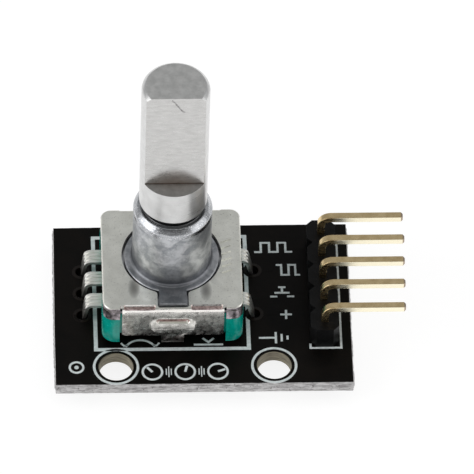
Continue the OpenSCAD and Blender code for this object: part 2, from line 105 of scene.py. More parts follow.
# ---------------------------------------------------------------- materials
class Shader:
    """A Principled material with helpers for its nodes. Texture positions are in millimetres."""

    def __init__(self, name, rough, metallic=0.0, specular=0.5):
        self.mat = bpy.data.materials.new(name)
        self.mat.use_nodes = True
        self.tree = self.mat.node_tree
        self.tree.nodes.clear()
        out = self.node("ShaderNodeOutputMaterial")
        self.bsdf = self.node("ShaderNodeBsdfPrincipled")
        self.tree.links.new(self.bsdf.outputs[0], out.inputs["Surface"])
        self.bsdf.inputs["Roughness"].default_value = rough
        self.bsdf.inputs["Metallic"].default_value = metallic
        self.bsdf.inputs["Specular IOR Level"].default_value = specular
        self.place = self.node("ShaderNodeTexCoord").outputs["Object"]

    def node(self, kind, **sockets):
        made = self.tree.nodes.new(kind)
        for key, value in sockets.items():
            self.put(made.inputs[key.replace("_", " ")], value)
        return made

    def put(self, socket, value):
        if isinstance(value, bpy.types.NodeSocket):
            self.tree.links.new(value, socket)
        else:
            socket.default_value = value

    def where(self, stretch=(1, 1, 1), turn=(0, 0, 0)):
        m = self.node("ShaderNodeMapping", Vector=self.place)
        m.inputs["Scale"].default_value = [1000 * s for s in stretch]
        m.inputs["Rotation"].default_value = [math.radians(a) for a in turn]
        return m.outputs[0]

    def noise(self, scale, detail=3.0, rough=0.55, distort=0.0, stretch=(1, 1, 1),
              turn=(0, 0, 0)):
        n = self.node("ShaderNodeTexNoise", Vector=self.where(stretch, turn), Scale=scale,
                      Detail=detail, Roughness=rough, Distortion=distort)
        return n.outputs["Fac"]

    def dots(self, scale, radius):
        v = self.node("ShaderNodeTexVoronoi", Vector=self.where(), Scale=scale)
        return self.span(v.outputs["Distance"], radius * 0.6, radius, 1.0, 0.0)

    def span(self, value, a, b, low, high):
        r = self.node("ShaderNodeMapRange", Value=value)
        for key, v in zip(("From Min", "From Max", "To Min", "To Max"), (a, b, low, high)):
            r.inputs[key].default_value = v
        return r.outputs[0]

    def math(self, what, a, b):
        m = self.node("ShaderNodeMath")
        m.operation = what
        self.put(m.inputs[0], a)
        self.put(m.inputs[1], b)
        return m.outputs[0]

    def times(self, a, b):
        return self.math("MULTIPLY", a, b)

    def mix(self, share, a, b):
        m = self.node("ShaderNodeMix")
        m.data_type = "RGBA"
        self.put(m.inputs["Factor"], share)
        for socket, v in zip((m.inputs[6], m.inputs[7]), (a, b)):
            self.put(socket, v if isinstance(v, bpy.types.NodeSocket) else (*v, 1))
        return m.outputs[2]

    def along(self, axis):
        """Distance from the shaft axis, or height above the board's top face, in millimetres."""
        s = self.node("ShaderNodeSeparateXYZ", Vector=self.where())
        return self.math("SUBTRACT", s.outputs[axis], origin["XYZ".index(axis)] / MM)

    def side(self):
        return self.along("X")

    def height(self):
        return self.along("Z")

    def spot(self, x, y, half_x, half_y):
        """1 in the middle of a soft oval on an upward face, 0 outside it."""
        a = self.math("DIVIDE", self.math("SUBTRACT", self.along("X"), x), half_x)
        b = self.math("DIVIDE", self.math("SUBTRACT", self.along("Y"), y), half_y)
        reach = self.math("ADD", self.times(a, a), self.times(b, b))
        return self.span(reach, 0.0, 1.8, 0.85, 0.0)

    def colour(self, value):
        self.put(self.bsdf.inputs["Base Color"], value)
        return self

    def rough(self, value):
        self.put(self.bsdf.inputs["Roughness"], value)
        return self

    def bump(self, *layers):
        """Each layer is a height from 0 to 1 and how many millimetres that stands for."""
        normal = None
        for height, deep in layers:
            b = self.node("ShaderNodeBump", Height=height, Strength=1.0, Distance=deep * MM)
            if normal:
                self.put(b.inputs["Normal"], normal)
            normal = b.outputs[0]
        self.put(self.bsdf.inputs["Normal"], normal)
        return self


# middles of the two spots of painted shade that stand for shallow dents in the cover's top, and
# their half length each way
DENT_SHADE_SPOTS = [(-3.42, -3.75), (2.93, -4.1)]
DENT_SHADE_SIZE = (0.42, 0.95)


def tin_plate():
    s = Shader("tin_plate", 0.4, 1.0)
    cloud = s.noise(0.7, 4, 0.6, 0.4)
    fine = s.noise(7, 3)
    tone = s.mix(s.span(cloud, 0.35, 0.68, 0, 1), (0.82, 0.82, 0.755), (0.97, 0.97, 0.90))
    # painted shade: two darkened spots standing in for shallow dents in the cover's top
    for x, y in DENT_SHADE_SPOTS:
        tone = s.mix(s.spot(x, y, *DENT_SHADE_SIZE), tone, (0.24, 0.235, 0.22))
    tone = s.mix(s.span(fine, 0.60, 0.72, 0, 0.5), tone, (0.28, 0.26, 0.24))
    tone = s.mix(s.times(s.dots(1.1, 0.06), 0.85), tone, (0.14, 0.10, 0.09))
    return s.colour(tone).rough(s.span(s.noise(2.6, 4), 0.3, 0.7, 0.30, 0.48)).bump(
        (s.noise(1.0, 2), 0.02), (s.noise(16, 2), 0.0022))


def tin_skirt():
    s = Shader("tin_skirt", 0.3, 1.0)
    cloud = s.noise(1.5, 5, 0.65, 0.6)
    tone = s.mix(s.span(cloud, 0.36, 0.62, 0, 1), (0.40, 0.39, 0.365), (0.80, 0.79, 0.75))
    tone = s.mix(s.span(s.noise(7, 3), 0.6, 0.72, 0, 0.4), tone, (0.16, 0.14, 0.13))
    # painted shade: the skirt darkens, mottled, from the pressed oval down to its lower edge
    low_shade = s.times(s.span(s.height(), 1.9, 3.6, 1, 0), s.span(cloud, 0.40, 0.60, 1, 0.1))
    tone = s.mix(s.times(low_shade, 0.8), tone, (0.10, 0.085, 0.085))
    # painted highlight along the bend where the skirt leaves the top plate
    tone = s.mix(s.span(s.height(), 4.3, 4.7, 0, 0.9), tone, (0.98, 0.95, 0.91))
    # painted shade on the skirt's lower edge and the tab folded under it
    tone = s.mix(s.span(s.height(), 1.3, 1.7, 0.7, 0), tone, (0.12, 0.085, 0.08))
    return s.colour(tone).rough(s.span(s.noise(3.4, 4), 0.3, 0.7, 0.2, 0.38)).bump(
        (s.noise(1.8, 3), 0.02), (s.noise(12, 2), 0.003))


# painted shade: the lips folded under the top plate's corners get a darker, purple-tinted copy of
# the skirt's tin
def shaded_tin_lip():
    s = Shader("shaded_tin_lip", 0.3, 1.0)
    cloud = s.noise(1.7, 4, 0.65, 0.5)
    tone = s.mix(s.span(cloud, 0.36, 0.62, 0, 1), (0.12, 0.11, 0.115), (0.50, 0.44, 0.47))
    return s.colour(tone).rough(s.span(s.noise(4, 3), 0.3, 0.7, 0.22, 0.42)).bump(
        (cloud, 0.015), (s.noise(9, 2), 0.003))


def groove_burnish(name, dark, light):
    s = Shader(name, 0.35, 1.0)
    tone = s.mix(s.span(s.noise(4, 3), 0.35, 0.65, 0, 1), dark, light)
    return s.colour(tone).bump((s.noise(9, 3), 0.01))


def zinc():
    s = Shader("zinc", 0.35, 1.0)
    cloud = s.noise(1.0, 5, 0.6, 0.3)
    fine = s.noise(6, 4, 0.6)
    tone = s.mix(s.span(cloud, 0.40, 0.60, 0, 1), (0.31, 0.325, 0.345), (0.57, 0.58, 0.60))
    tone = s.mix(s.span(fine, 0.58, 0.70, 0, 0.5), tone, (0.72, 0.72, 0.72))
    # painted shade round the foot of the barrel, just above the flange
    shade = s.times(s.span(s.height(), 5.205, 5.28, 0, 1), s.span(s.height(), 5.5, 6.4, 0.8, 0))
    tone = s.mix(shade, tone, (0.13, 0.135, 0.15))
    # painted shade darkening the rim's chamfer
    tone = s.mix(s.span(s.height(), 11.3, 11.5, 0, 0.6), tone, (0.42, 0.43, 0.45))
    # near-white specks on the rim: nicks, painted as glints
    rim_nicks_and_glints = s.times(s.span(s.noise(9, 3, 0.6), 0.56, 0.66, 0, 0.7),
                    s.span(s.height(), 11.35, 11.5, 0, 1))
    tone = s.mix(rim_nicks_and_glints, tone, (0.98, 0.98, 0.98))
    polish = s.times(s.span(cloud, 0.3, 0.7, 0.42, 0.30),
                     s.span(s.height(), 11.3, 11.5, 1, 0.55))
    return s.colour(tone).rough(polish).bump((s.noise(1.3, 2), 0.02), (fine, 0.006))


def turned_aluminium():
    s = Shader("turned_aluminium", 0.26, 1.0)
    rings = s.noise(1.0, 3, 0.6, stretch=(0.25, 0.25, 14))
    tone = s.mix(s.span(s.noise(1.1, 4), 0.3, 0.7, 0, 1), (0.60, 0.60, 0.595), (0.70, 0.70, 0.695))
    # painted shade on the neck below the shoulder, inside the bushing
    neck = s.span(s.height(), 13.0, 13.12, 1, 0)
    tone = s.mix(neck, tone, (0.20, 0.20, 0.20))
    return s.colour(tone).rough(s.span(rings, 0.3, 0.7, 0.27, 0.33)).bump(
        (rings, 0.0008), (s.noise(5, 2), 0.003))


def milled_flat():
    s = Shader("milled_flat", 0.28, 1.0)
    lines = s.noise(1.6, 4, 0.6, stretch=(0.6, 1, 2.2), turn=(0, -24, 0))
    cross = s.noise(1.4, 3, 0.6, stretch=(0.8, 1, 3), turn=(0, 30, 0))
    tone = s.mix(s.span(lines, 0.3, 0.7, 0, 1), (0.52, 0.515, 0.505), (0.63, 0.625, 0.615))
    tone = s.mix(s.span(cross, 0.56, 0.75, 0, 0.5), tone, (0.65, 0.645, 0.64))
    # the cutter left a brown burnish above the flat's lower end; its darker arch is a painted
    # reflection of the ledge
    arch_burnish_and_reflection = s.math("ADD", s.height(), s.times(s.times(s.side(), s.side()), 0.25))
    tone = s.mix(s.span(arch_burnish_and_reflection, 16.8, 18.9, 0.75, 0), tone, (0.37, 0.27, 0.21))
    # painted shade in the crease along the flat's lower end, against the ledge
    tone = s.mix(s.span(s.height(), 16.86, 16.98, 0.9, 0), tone, (0.11, 0.075, 0.05))
    return s.colour(tone).rough(s.span(cross, 0.3, 0.7, 0.24, 0.36)).bump(
        (lines, 0.003), (cross, 0.002), (s.noise(1.4, 2), 0.012))


def sawn_face():
    s = Shader("sawn_face", 0.42, 1.0)
    cloud = s.span(s.noise(1.6, 4), 0.35, 0.65, 0, 1)
    tone = s.mix(cloud, (0.60, 0.60, 0.585), (0.74, 0.735, 0.72))
    return s.colour(tone).bump((s.noise(1, 3, stretch=(9, 2, 1), turn=(0, 0, 35)), 0.006))


def solder_mask():
    s = Shader("solder_mask", 0.42, 0.0, 0.09)
    cloud = s.span(s.noise(0.35, 4, 0.6, 0.5), 0.35, 0.65, 0, 1)
    tone = s.mix(cloud, (0.0028, 0.0024, 0.0020), (0.0060, 0.0045, 0.0034))
    tone = s.mix(s.times(s.dots(0.55, 0.035), 0.5), tone, (0.22, 0.2, 0.18))
    return s.colour(tone).rough(s.span(s.noise(3, 3), 0.3, 0.7, 0.34, 0.5)).bump(
        (s.noise(1.2, 3), 0.02), (s.noise(9, 2), 0.002))


def mask_edge():
    s = Shader("mask_over_copper_edge", 0.4, 0.0, 0.2)
    tone = s.mix(s.noise(3, 3), (0.004, 0.0025, 0.002), (0.014, 0.009, 0.006))
    return s.colour(tone).bump((s.noise(8, 2), 0.004))


def snapped_laminate():
    s = Shader("snapped_laminate", 0.75)
    streak = s.noise(1.0, 5, 0.7, 0.3, stretch=(1.1, 1.1, 5))
    tone = s.mix(s.span(streak, 0.38, 0.6, 0, 1), (0.27, 0.26, 0.26), (0.62, 0.61, 0.61))
    tone = s.mix(s.span(s.noise(4.5, 3, 0.6), 0.60, 0.70, 0, 0.85), tone, (0.07, 0.06, 0.055))
    return s.colour(tone).bump((streak, 0.09), (s.noise(7, 4, 0.7), 0.04))


def drilled_laminate():
    s = Shader("drilled_laminate", 0.6)
    rings = s.noise(1.0, 3, 0.6, stretch=(0.8, 0.8, 9))
    tone = s.mix(s.span(rings, 0.35, 0.65, 0, 1), (0.10, 0.085, 0.055), (0.30, 0.27, 0.19))
    return s.colour(tone).bump((rings, 0.02), (s.noise(7, 3), 0.015))


def print_ink():
    s = Shader("print_ink", 0.6, 0.0, 0.3)
    cloud = s.span(s.noise(2.4, 4, 0.65), 0.35, 0.65, 0, 1)
    tone = s.mix(cloud, (0.70, 0.76, 0.76), (0.90, 0.96, 0.96))
    return s.colour(tone).bump((s.noise(7, 3), 0.012))


def gold_plate():
    s = Shader("gold_plate", 0.26, 1.0)
    cloud = s.noise(1.3, 4, 0.6)
    tone = s.mix(s.span(cloud, 0.35, 0.65, 0, 1), (0.62, 0.47, 0.25), (0.80, 0.63, 0.36))
    # painted highlight: towards their outer ends the pins' faces that face the front are painted
    # paler, where they catch the light
    normal = s.node("ShaderNodeNewGeometry").outputs["Normal"]
    facing = s.node("ShaderNodeSeparateXYZ", Vector=normal).outputs["Y"]
    painted_front_highlight = s.times(s.span(facing, -0.75, -0.9, 0, 1), s.span(s.side(), 14.4, 15.0, 0, 1))
    tone = s.mix(painted_front_highlight, tone, (1.0, 0.93, 0.72))
    tone = s.mix(s.times(s.dots(1.2, 0.04), 0.35), tone, (0.30, 0.20, 0.10))
    grain = (0.3, 1, 1)
    return s.colour(tone).rough(s.span(s.noise(3, 3, stretch=grain), 0.3, 0.7, 0.2, 0.34)).bump(
        (s.noise(2, 3, stretch=grain), 0.002), (s.noise(1.5, 2), 0.003))


def cut_copper():
    s = Shader("cut_pin_end", 0.45, 1.0)
    tone = s.mix(s.noise(4, 4), (0.30, 0.22, 0.15), (0.55, 0.46, 0.36))
    return s.colour(tone).bump((s.noise(1, 3, stretch=(2, 2, 16)), 0.01))


def moulded(name, dark, light, rough, grain=0.006, specular=0.5, scuff_and_glint=None):
    s = Shader(name, rough, 0.0, specular)
    cloud = s.noise(0.9, 4, 0.6, 0.3)
    tone = s.mix(s.span(cloud, 0.35, 0.65, 0, 1), dark, light)
    # lighter specks: scuffs, partly painted glints
    if scuff_and_glint:
        tone = s.mix(s.span(s.noise(5, 4, 0.7), 0.66, 0.76, 0, 0.8), tone, scuff_and_glint)
    return s.colour(tone).rough(s.span(s.noise(4, 3), 0.3, 0.7, rough - 0.07, rough + 0.09)).bump(
        (s.noise(1.2, 2), 0.02), (s.noise(11, 3), grain))


def metal(name, dark, light, rough, stretch=(1, 1, 1), deep=0.006):
    s = Shader(name, rough, 1.0)
    cloud = s.noise(1.2, 4, 0.6)
    line = s.noise(3.0, 3, 0.6, stretch=stretch)
    tone = s.mix(s.span(cloud, 0.35, 0.65, 0, 1), dark, light)
    return s.colour(tone).rough(s.span(line, 0.3, 0.7, rough - 0.07, rough + 0.1)).bump(
        (line, deep))


def terminal_metal():
    s = Shader("tinned_brass", 0.36, 1.0)
    line = s.noise(3.0, 3, 0.6, stretch=(0.3, 5, 5))
    cloud = s.span(s.noise(1.2, 4, 0.6), 0.35, 0.65, 0, 1)
    tone = s.mix(cloud, (0.86, 0.855, 0.80), (0.99, 0.985, 0.94))
    tone = s.mix(s.span(line, 0.58, 0.70, 0, 0.6), tone, (0.34, 0.335, 0.32))
    # painted shade on the legs' lower part, close to the board
    tone = s.mix(s.span(s.height(), 0.3, 1.5, 0.75, 0), tone, (0.16, 0.15, 0.14))
    return s.colour(tone).rough(s.span(line, 0.3, 0.7, 0.28, 0.45)).bump((line, 0.006))


SHADERS = {
    "tin_plate": tin_plate(), "tin_skirt": tin_skirt(), "lip": shaded_tin_lip(),
    "groove": groove_burnish("groove_burnish", (0.42, 0.29, 0.28), (0.86, 0.68, 0.66)),
    # the hollow's tones are the pinkish burnish, darkened by painted shade in the recess
    "hollow": groove_burnish("hollow_burnish_and_shade", (0.16, 0.10, 0.09), (0.40, 0.28, 0.27)),
    "zinc": zinc(), "turned": turned_aluminium(), "flat": milled_flat(), "sawn": sawn_face(),
    "mask": solder_mask(), "mask_edge": mask_edge(), "edge": snapped_laminate(),
    "hole": drilled_laminate(), "ink": print_ink(), "cut": cut_copper(),
    "gold": gold_plate(),
    "green": moulded("green_polyester", (0.0, 0.25, 0.195), (0.0, 0.34, 0.275), 0.2),
    "strip": moulded("header_nylon", (0.003, 0.003, 0.003), (0.007, 0.007, 0.0075), 0.36,
                     0.012, 0.14, (0.08, 0.08, 0.08)),
    "terminal": terminal_metal(),
    "solder": metal("solder_tin", (0.58, 0.59, 0.60), (0.78, 0.78, 0.79), 0.2, (1, 1, 1), 0.01),
    "chip_body": moulded("chip_glaze", (0.008, 0.008, 0.010), (0.020, 0.020, 0.022), 0.3),
    "chip_cap": metal("chip_end_tin", (0.60, 0.60, 0.61), (0.80, 0.80, 0.80), 0.3),
    "spring": metal("spring_steel", (0.46, 0.47, 0.48), (0.66, 0.66, 0.66), 0.25, (1, 6, 1)),
    "brass": metal("rolled_brass", (0.66, 0.48, 0.20), (0.86, 0.66, 0.32), 0.3, (1, 7, 1)),
    "rotor": moulded("rotor_nylon", (0.010, 0.010, 0.011), (0.024, 0.024, 0.026), 0.42),
    "plunger": moulded("plunger_nylon", (0.66, 0.65, 0.60), (0.80, 0.79, 0.75), 0.4),
    "clip": metal("clip_steel", (0.40, 0.41, 0.42), (0.60, 0.60, 0.61), 0.3, (7, 1, 1)),
}
MAT = {key: shader.mat for key, shader in SHADERS.items()}


# ---------------------------------------------------------------- shapes
def wobble(x, y, z=0.0, size=1.0):
    """Smooth repeatable unevenness between about -1 and 1."""
    return noise.noise(Vector((x, y, z)) / size + Vector((17.3, 5.1, 9.7)))


def smooth(t):
    t = min(max(t, 0.0), 1.0)
    return t * t * (3 - 2 * t)


def to_object(bm):
    bmesh.ops.recalc_face_normals(bm, faces=bm.faces)
    mesh = bpy.data.meshes.new("shape")
    bm.to_mesh(mesh)
    bm.free()
    ob = bpy.data.objects.new("shape", mesh)
    scene.collection.objects.link(ob)
    return ob


def loft(rings, around=False):
    """Skin through rings of points. With around, the last ring joins the first; otherwise the
    ends are closed."""
    bm = bmesh.new()
    rows = [[bm.verts.new(p) for p in ring] for ring in rings]
    n = len(rows[0])
    pairs = list(zip(rows, rows[1:])) + ([(rows[-1], rows[0])] if around else [])
    for a, b in pairs:
        for i in range(n):
            j = (i + 1) % n
            bm.faces.new((a[i], a[j], b[j], b[i]))
    if not around:
        bm.faces.new(rows[0][::-1])
        bm.faces.new(rows[-1])
    return to_object(bm)


def prism(outline, z0, z1):
    return loft([[(x, y, z) for x, y in outline] for z in (z0, z1)])


def block(a, b):
    return prism([(a[0], a[1]), (b[0], a[1]), (b[0], b[1]), (a[0], b[1])], a[2], b[2])


def lathe(profile, centre=(0, 0), n=96, around=False):
    turn = [(math.cos(2 * math.pi * i / n), math.sin(2 * math.pi * i / n)) for i in range(n)]
    return loft([[(centre[0] + r * c, centre[1] + r * s, z) for c, s in turn]
                 for r, z in profile], around)


def arc(cx, cy, r, a0, a1, n):
    return [(cx + r * math.cos(math.radians(a0 + (a1 - a0) * i / n)),
             cy + r * math.sin(math.radians(a0 + (a1 - a0) * i / n))) for i in range(n + 1)]


def round_rect(x0, y0, x1, y1, r, n=8):
    return (arc(x1 - r, y1 - r, r, 0, 90, n) + arc(x0 + r, y1 - r, r, 90, 180, n)
            + arc(x0 + r, y0 + r, r, 180, 270, n) + arc(x1 - r, y0 + r, r, 270, 360, n))


def sweep(path, section, plane="xz", centre=0.0):
    """Carries a section along a path. The section's first number runs across the strip, the
    second along the path's left-hand normal, and may depend on the path's step."""
    rings = []
    for i, p in enumerate(path):
        a, b = Vector(path[max(i - 1, 0)]), Vector(path[min(i + 1, len(path) - 1)])
        along = (b - a).normalized()
        left = Vector((-along.y, along.x))
        ring = []
        for across, up in (section(i) if callable(section) else section):
            u, v = Vector(p) + left * up
            ring.append((u, centre + across, v) if plane == "xz" else (centre + across, u, v))
        rings.append(ring)
    return loft(rings)


def settle(ob):
    """Applies the modifiers of ob."""
    made = bpy.data.meshes.new_from_object(
        ob.evaluated_get(bpy.context.evaluated_depsgraph_get()))
    ob.modifiers.clear()
    old, ob.data = ob.data, made
    bpy.data.meshes.remove(old)
    return ob


def combine(a, how, *others):
    for b in others:
        m = a.modifiers.new("combine", "BOOLEAN")
        m.operation, m.solver, m.object = how, "EXACT", b
        settle(a)
        bpy.data.objects.remove(b)
    return a


def unite(a, *others):
    return combine(a, "UNION", *others)


def cut(a, *others):
    return combine(a, "DIFFERENCE", *others)


def together(*obs):
    """One object from several that don't touch."""
    bm = bmesh.new()
    for ob in obs:
        bm.from_mesh(ob.data)
        bpy.data.objects.remove(ob)
    mesh = bpy.data.meshes.new("shape")
    bm.to_mesh(mesh)
    bm.free()
    ob = bpy.data.objects.new("shape", mesh)
    scene.collection.objects.link(ob)
    return ob


def cad_copy(node):
    """A copy of a CAD node's shape in millimetres, with its flat faces whole again."""
    bm = bmesh.new()
    bm.from_mesh(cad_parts[node].data)
    bmesh.ops.transform(bm, matrix=TO_MM, verts=bm.verts)
    clean(bm)
    return to_object(bm)


def clean(bm):
    """Joins points that are almost one, and makes flat areas single faces."""
    bmesh.ops.remove_doubles(bm, verts=bm.verts, dist=0.002)
    bmesh.ops.dissolve_limit(bm, angle_limit=math.radians(0.5), verts=bm.verts, edges=bm.edges)


def keep_side(ob, x, sign):
    """Keeps the part of ob whose X is beyond x in the direction sign, and closes the cut."""
    far = 40 * sign
    lo, hi = sorted((x, x + far))
    return combine(ob, "INTERSECT", block((lo, -30, -30), (hi, 30, 40)))


BEVEL_ANGLE, SHARP_ANGLE = math.radians(35), math.radians(48)


def piece(ob, name, body, mats, replaces=(), bevel=0.0, segments=2, pick=None):
    """Finishes ob: softens its edges, gives it materials, moves it into the frame. pick says
    which of the materials a face has, from its centre and normal."""
    bm = bmesh.new()
    bm.from_mesh(ob.data)
    clean(bm)
    bm.to_mesh(ob.data)
    bm.free()
    if bevel:
        m = ob.modifiers.new("bevel", "BEVEL")
        m.width, m.segments, m.limit_method = bevel, segments, "ANGLE"
        m.angle_limit = BEVEL_ANGLE
        settle(ob)
    mesh = ob.data
    mesh.materials.clear()
    for key in mats:
        mesh.materials.append(MAT[key])
    for face in mesh.polygons:
        face.material_index = pick(face.center, face.normal) if pick else 0
    mesh.shade_smooth()
    mesh.set_sharp_from_angle(angle=SHARP_ANGLE)
    m = ob.modifiers.new("normals", "WEIGHTED_NORMAL")
    m.keep_sharp = True
    settle(ob)
    ob.data.transform(TO_FRAME)
    ob.name = ob.data.name = name
    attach(ob, body)
    if replaces:
        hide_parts(*replaces)
    return ob


# ---------------------------------------------------------------- board
def lead_places():
    """Centres of the encoder's lead holes and of the header's, from the CAD's own pieces."""
    spots = []
    for group in ("encoder_solder_", "header_solder_"):
        for i in range(1, 6):
            lo, hi = box_mm(group + str(i))
            spots.append(((lo.x + hi.x) / 2, (lo.y + hi.y) / 2))
    return spots[:5], spots[5:]


ENCODER_LEADS, HEADER_LEADS = lead_places()
LO, HI = TO_MM @ board_lo, TO_MM @ board_hi
THICK = -LO.z
RIDGE = 0.15
TOP_X0, TOP_X1, TOP_Y0, TOP_Y1 = LO.x + RIDGE, HI.x - RIDGE, LO.y + RIDGE, HI.y - RIDGE
AXIS_TO_ROW = TO_MM @ Vector((0, 0, 0))
HOLE_PITCH, HOLE_R = 14.0, 1.5
HOLES = [(AXIS_TO_ROW.x + s * HOLE_PITCH / 2, AXIS_TO_ROW.y) for s in (-1, 1)]
LEAD_HOLE_R, PAD_R, PLATING = 0.55, 0.8, 0.04


def board_ring(z, out, rough):
    """The board's outline at one height, standing out by out with an unevenness of rough."""
    step = 0.2
    sides = [((TOP_X0, TOP_Y0), (TOP_X1, TOP_Y0), (0, -1)),
             ((TOP_X1, TOP_Y0), (TOP_X1, TOP_Y1), (1, 0)),
             ((TOP_X1, TOP_Y1), (TOP_X0, TOP_Y1), (0, 1)),
             ((TOP_X0, TOP_Y1), (TOP_X0, TOP_Y0), (-1, 0))]
    ring = []
    for (ax, ay), (bx, by), (nx, ny) in sides:
        count = round((abs(bx - ax) + abs(by - ay)) / step)
        for i in range(count):
            x, y = ax + (bx - ax) * i / count, ay + (by - ay) * i / count
            # the board was snapped a little out of square
            back, left = (y - TOP_Y0) / (TOP_Y1 - TOP_Y0), (TOP_X1 - x) / (TOP_X1 - TOP_X0)
            x += left * max(0.0, 0.18 * back - 0.06)
            y -= back * max(0.0, 0.24 * left - 0.10)
            d = out + rough * (wobble(x, y, z * 3, 0.33) + 0.6 * wobble(x, y, z * 3, 1.3))
            d = min(max(d, -0.1), RIDGE)
            corner = 0.7 if i == 0 else 1.0
            ring.append((x + nx * d * corner, y + ny * d * corner, z))
    return ring


def make_board():
    rows = [(-THICK, 0.0, 0.012), (-THICK + 0.05, 0.03, 0.02), (-0.95, 0.045, 0.03),
            (-0.82, 0.07, 0.06), (-0.7, 0.105, 0.09), (-0.58, 0.11, 0.10), (-0.46, 0.10, 0.09),
            (-0.35, 0.06, 0.06), (-0.22, 0.04, 0.03), (-0.06, 0.02, 0.02), (0.0, 0.0, 0.012)]
    board = loft([board_ring(*row) for row in rows])

    def drill(spot, r, flare):
        return lathe([(r + flare, -THICK - 0.3), (r + flare, -THICK), (r, -THICK + flare),
                      (r, -flare), (r + flare, 0.0), (r + flare, 0.3)],
                     spot, 72 if r > 1 else 32)
    drills = [drill(h, HOLE_R, 0.05) for h in HOLES]
    drills += [drill(p, LEAD_HOLE_R, 0.0) for p in ENCODER_LEADS + HEADER_LEADS]
    cut(board, together(*drills))

    def pick(centre, normal):
        if abs(normal.z) > 0.8:
            return 0
        inside = TOP_X0 + 0.3 < centre.x < TOP_X1 - 0.3 and TOP_Y0 + 0.3 < centre.y < TOP_Y1 - 0.3
        return 2 if inside else 1
    piece(board, "board", "module", ["mask", "edge", "hole"], ["circuit_board"], pick=pick)


def ribbon(points, width, z0, z1, closed=False, rough=0.012):
    """A printed or etched line along points, its edges slightly uneven."""
    path = []
    n = len(points)
    for i in range(n if closed else n - 1):
        a, b = Vector(points[i]), Vector(points[(i + 1) % n])
        steps = max(1, round((b - a).length / 0.4))
        path += [(a + (b - a) * k / steps, k == 0) for k in range(steps)]
    if not closed:
        path.append((Vector(points[-1]), True))
    left, right = [], []
    count = len(path)
    for i, (p, _) in enumerate(path):
        before = path[i - 1][0] if i or closed else None
        after = path[(i + 1) % count][0] if i < count - 1 or closed else None
        d0 = (p - before).normalized() if before is not None else None
        d1 = (after - p).normalized() if after is not None else None
        d0, d1 = d0 or d1, d1 or d0
        n0, n1 = Vector((-d0.y, d0.x)), Vector((-d1.y, d1.x))
        mitre = (n0 + n1).normalized()
        reach = width / 2 / max(mitre.dot(n0), 0.4)
        left.append(p + mitre * (reach + rough * wobble(p.x, p.y, 1, 0.5)))
        right.append(p - mitre * (reach + rough * wobble(p.x, p.y, 7, 0.5)))
    rings = [[(l.x, l.y, z0), (r.x, r.y, z0), (r.x, r.y, z1), (l.x, l.y, z1)]
             for l, r in zip(left, right)]
    return loft(rings, closed)


INK_Z = 0.02
PEN = 0.2
# the printed ring round a mounting hole
RING_R, RING_LINE = 2.05, 0.23
DIALS_Y = -9.05


def drawn(points, width=PEN, closed=False):
    return ribbon(points, width, 0.0, INK_Z, closed)


def circle_of(cx, cy, r, n=56):
    return arc(cx, cy, r, 0, 360, n)[:-1]


def disc_mark(cx, cy, r):
    return prism(circle_of(cx, cy, r, 24), 0.0, INK_Z)


